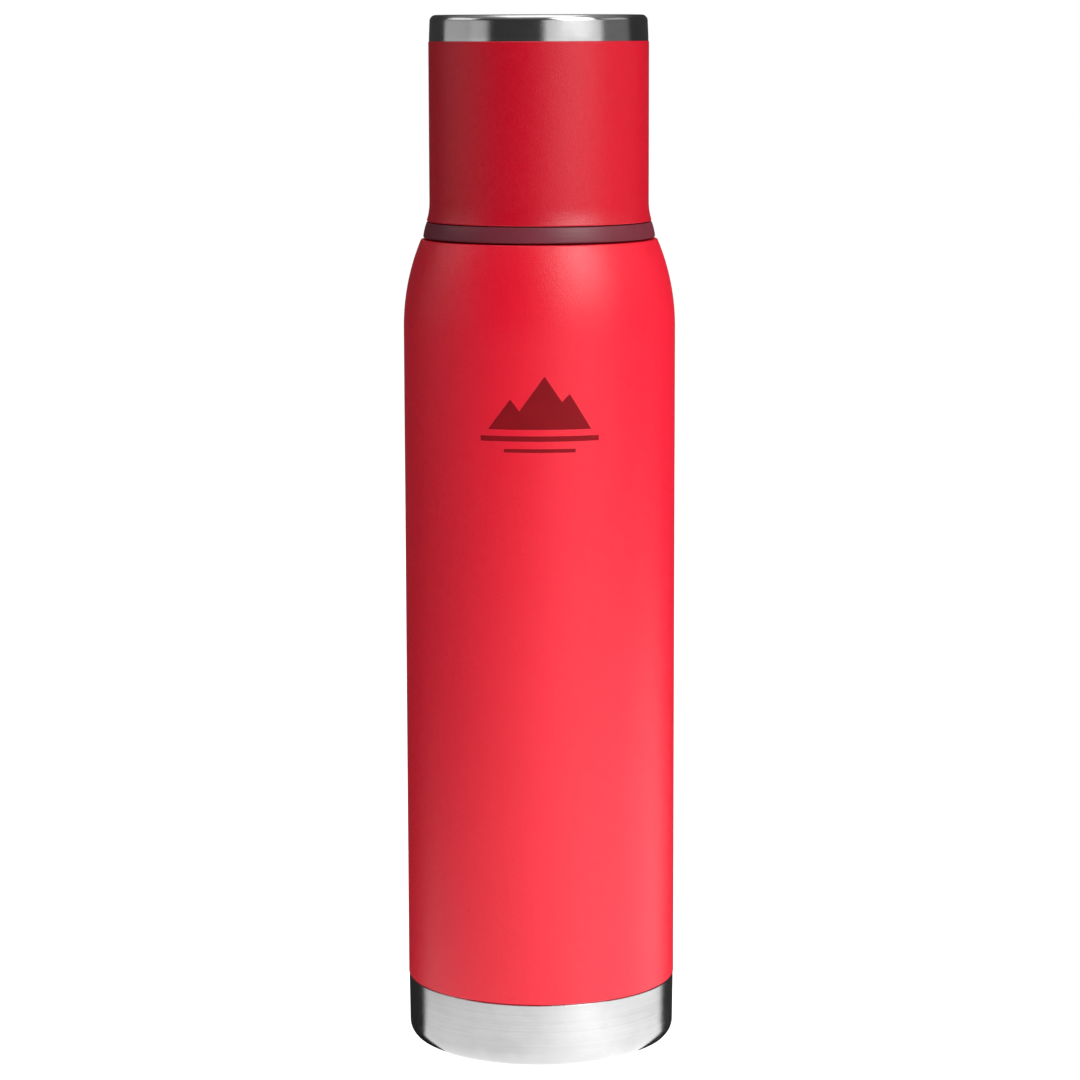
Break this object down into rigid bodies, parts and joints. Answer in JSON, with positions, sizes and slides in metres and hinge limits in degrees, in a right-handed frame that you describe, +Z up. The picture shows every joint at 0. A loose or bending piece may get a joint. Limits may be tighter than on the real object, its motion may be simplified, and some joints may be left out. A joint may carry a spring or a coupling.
{
  "type": "insulated water bottle",
  "caption": "Double-walled vacuum bottle with a pour-through screw stopper, a twist valve and an insulated screw-on cup.",
  "frame": {"origin": "centre of the foot ring on the surface the bottle stands on", "axes": "+Z up along the bottle's axis; +X towards the middle of the stopper's pour window; -Y towards the printed mark"},
  "size_m": [0.085, 0.085, 0.3244],
  "materials": {
    "red_coat": "satin powder coat, fine grained",
    "brushed_steel": "brushed round the axis",
    "liner_steel": "electropolished, satin",
    "maroon_plastic": "matte",
    "charcoal_plastic": "matte",
    "pale_silicone": "matte",
    "dark_rubber": "matte",
    "copper_foil": "bright foil",
    "getter": "sintered",
    "seal_glass": "fused bead"
  },
  "bodies": {
    "vessel": {"outer_shell": "red_coat", "base_cup": "brushed_steel", "bottom_cover": "brushed_steel", "base_vacuum_seal": "seal_glass", "inner_liner": "liner_steel", "liner_base": "liner_steel", "radiation_foil": "copper_foil", "getter": "getter", "getter_clip": "liner_steel"},
    "shoulder_seat": {"shoulder_ring": "dark_rubber"},
    "stopper": {"stopper_body": "maroon_plastic", "collar_ring": "maroon_plastic", "plug_shell": "charcoal_plastic", "lip_gasket": "pale_silicone", "plug_gasket": "pale_silicone"},
    "valve_seat_ring": {"stem_seal": "dark_rubber"},
    "valve": {"valve_stem": "charcoal_plastic", "valve_seal": "pale_silicone", "pour_knob": "charcoal_plastic"},
    "cup_seat": {"rim_seal": "dark_rubber"},
    "cup": {"cup_shell": "red_coat", "cup_end_cap": "brushed_steel", "cup_cover_disc": "brushed_steel", "cup_vacuum_seal": "seal_glass", "cup_liner": "liner_steel", "cup_getter": "getter"}
  },
  "joints": [
    {"name": "stopper_twist", "type": "hinge", "parent": "vessel", "child": "shoulder_seat", "pos_m": [0, 0, 0.2556], "axis": [0, 0, 1], "range_deg": [0, 720]},
    {"name": "stopper_rise", "type": "slide", "parent": "shoulder_seat", "child": "stopper", "axis": [0, 0, 1], "range_m": [0, 0.0321]},
    {"name": "valve_twist", "type": "hinge", "parent": "stopper", "child": "valve_seat_ring", "pos_m": [0, 0, 0.2655], "axis": [0, 0, 1], "range_deg": [0, 180]},
    {"name": "valve_rise", "type": "slide", "parent": "valve_seat_ring", "child": "valve", "axis": [0, 0, 1], "range_m": [0, 0.00301]},
    {"name": "cup_twist", "type": "hinge", "parent": "stopper", "child": "cup_seat", "pos_m": [0, 0, 0.2605], "axis": [0, 0, 1], "range_deg": [0, 720]},
    {"name": "cup_rise", "type": "slide", "parent": "cup_seat", "child": "cup", "axis": [0, 0, 1], "range_m": [0, 0.0321]}
  ],
  "couplings": [
    {"joint": "stopper_rise", "follows": "stopper_twist", "m_per_rad": 0.0025465},
    {"joint": "valve_rise", "follows": "valve_twist", "m_per_rad": 0.00095493},
    {"joint": "cup_rise", "follows": "cup_twist", "m_per_rad": 0.0025465}
  ]
}
